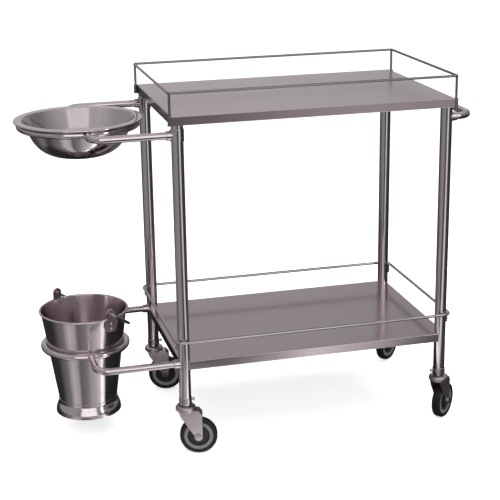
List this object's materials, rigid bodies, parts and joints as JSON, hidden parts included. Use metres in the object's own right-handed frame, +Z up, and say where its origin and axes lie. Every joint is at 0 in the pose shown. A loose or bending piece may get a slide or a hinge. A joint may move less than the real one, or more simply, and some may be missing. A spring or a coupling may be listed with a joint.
{
  "type": "dressing trolley",
  "caption": "Stainless steel hospital dressing trolley with shelves and guard rails, a push handle, swivel casters, a bowl in an upper ring holder and a bucket in a lower one.",
  "frame": {"origin": "on the floor, under the middle of the trolley's overall box with its bowl, bucket and handle", "axes": "+X along the shelves from the bowl end to the push handle, +Y from the front to the back, +Z up"},
  "size_m": [1.1978, 0.5476, 0.9887],
  "materials": {
    "satin_sheet": "satin rolled stainless sheet with soft reflections",
    "polished_tube": "polished stainless tube",
    "rail_rod": "polished stainless rod",
    "bright_fittings": "plated steel",
    "bowl_steel": "mirror polished stainless",
    "bucket_steel": "mirror polished stainless",
    "bail_wire": "polished stainless wire",
    "caster_plate": "zinc plated pressed steel",
    "wheel_centre": "moulded grey plastic",
    "tyre_rubber": "solid black rubber",
    "sleeve_rubber": "black rubber",
    "bush_bronze": "sintered bronze"
  },
  "bodies": {
    "frame": {"leg_front_left": "polished_tube", "leg_front_right": "polished_tube", "leg_back_left": "polished_tube", "leg_back_right": "polished_tube", "upper_shelf": "satin_sheet", "upper_shelf_stiffener": "satin_sheet", "lower_shelf": "satin_sheet", "lower_shelf_stiffener": "satin_sheet", "upper_guard_rail": "rail_rod", "rail_post_sockets": "rail_rod", "lower_guard_rail": "rail_rod", "lower_rail_tabs": "bright_fittings", "lower_rail_bolts": "bright_fittings", "push_handle": "polished_tube", "handle_collars": "polished_tube", "bowl_holder_ring": "polished_tube", "bowl_holder_front_arm": "polished_tube", "bowl_holder_back_arm": "polished_tube", "bucket_holder_ring": "polished_tube", "bucket_holder_front_arm": "polished_tube", "bucket_holder_back_arm": "polished_tube", "arm_collars": "polished_tube", "arm_leg_bands": "polished_tube", "leg_ferrules": "bright_fittings", "ferrule_screws": "bright_fittings", "stem_sleeves": "sleeve_rubber", "caster_stem_front_left": "caster_plate", "caster_stem_front_right": "caster_plate", "caster_stem_back_left": "caster_plate", "caster_stem_back_right": "caster_plate"},
    "swivel_front_left": {"caster_balls_front_left": "bright_fittings", "caster_fork_front_left": "caster_plate", "caster_axle_front_left": "bright_fittings", "caster_bush_front_left": "bush_bronze"},
    "wheel_front_left": {"caster_wheel_front_left": "wheel_centre", "caster_tyre_front_left": "tyre_rubber"},
    "swivel_front_right": {"caster_balls_front_right": "bright_fittings", "caster_fork_front_right": "caster_plate", "caster_axle_front_right": "bright_fittings", "caster_bush_front_right": "bush_bronze"},
    "wheel_front_right": {"caster_wheel_front_right": "wheel_centre", "caster_tyre_front_right": "tyre_rubber"},
    "swivel_back_left": {"caster_balls_back_left": "bright_fittings", "caster_fork_back_left": "caster_plate", "caster_axle_back_left": "bright_fittings", "caster_bush_back_left": "bush_bronze"},
    "wheel_back_left": {"caster_wheel_back_left": "wheel_centre", "caster_tyre_back_left": "tyre_rubber"},
    "swivel_back_right": {"caster_balls_back_right": "bright_fittings", "caster_fork_back_right": "caster_plate", "caster_axle_back_right": "bright_fittings", "caster_bush_back_right": "bush_bronze"},
    "wheel_back_right": {"caster_wheel_back_right": "wheel_centre", "caster_tyre_back_right": "tyre_rubber"},
    "bowl": {"bowl": "bowl_steel"},
    "bucket": {"bucket_shell": "bucket_steel", "bucket_foot": "bucket_steel", "bucket_ears": "bucket_steel", "ear_rivets": "bail_wire"},
    "bail": {"bucket_bail": "bail_wire"}
  },
  "joints": [
    {"name": "swivel_front_left", "type": "hinge", "parent": "frame", "child": "swivel_front_left", "pos_m": [-0.21045, -0.24266, 0.126], "axis": [0, 0, 1], "continuous": true},
    {"name": "roll_front_left", "type": "hinge", "parent": "swivel_front_left", "child": "wheel_front_left", "pos_m": [-0.17843, -0.25064, 0.0508], "axis": [0.2419, 0.9703, 0], "continuous": true},
    {"name": "swivel_front_right", "type": "hinge", "parent": "frame", "child": "swivel_front_right", "pos_m": [0.5174, -0.24266, 0.126], "axis": [0, 0, 1], "continuous": true},
    {"name": "roll_front_right", "type": "hinge", "parent": "swivel_front_right", "child": "wheel_front_right", "pos_m": [0.54153, -0.22015, 0.0508], "axis": [-0.682, 0.7314, 0], "continuous": true},
    {"name": "swivel_back_left", "type": "hinge", "parent": "frame", "child": "swivel_back_left", "pos_m": [-0.21045, 0.21319, 0.126], "axis": [0, 0, 1], "continuous": true},
    {"name": "roll_back_left", "type": "hinge", "parent": "swivel_back_left", "child": "wheel_back_left", "pos_m": [-0.17843, 0.20521, 0.0508], "axis": [0.2419, 0.9703, 0], "continuous": true},
    {"name": "swivel_back_right", "type": "hinge", "parent": "frame", "child": "swivel_back_right", "pos_m": [0.5174, 0.21319, 0.126], "axis": [0, 0, 1], "continuous": true},
    {"name": "roll_back_right", "type": "hinge", "parent": "swivel_back_right", "child": "wheel_back_right", "pos_m": [0.54268, 0.23441, 0.0508], "axis": [-0.6428, 0.766, 0], "continuous": true},
    {"name": "bowl_lift", "type": "slide", "parent": "frame", "child": "bowl", "axis": [0, 0, 1], "range_m": [0, 0.11]},
    {"name": "bucket_lift", "type": "slide", "parent": "frame", "child": "bucket", "axis": [0, 0, 1], "range_m": [0, 0.21]},
    {"name": "bail_swing", "type": "hinge", "parent": "bucket", "child": "bail", "pos_m": [-0.44203, -0.01473, 0.375], "axis": [0.4695, -0.8829, 0], "range_deg": [0, 248]}
  ]
}
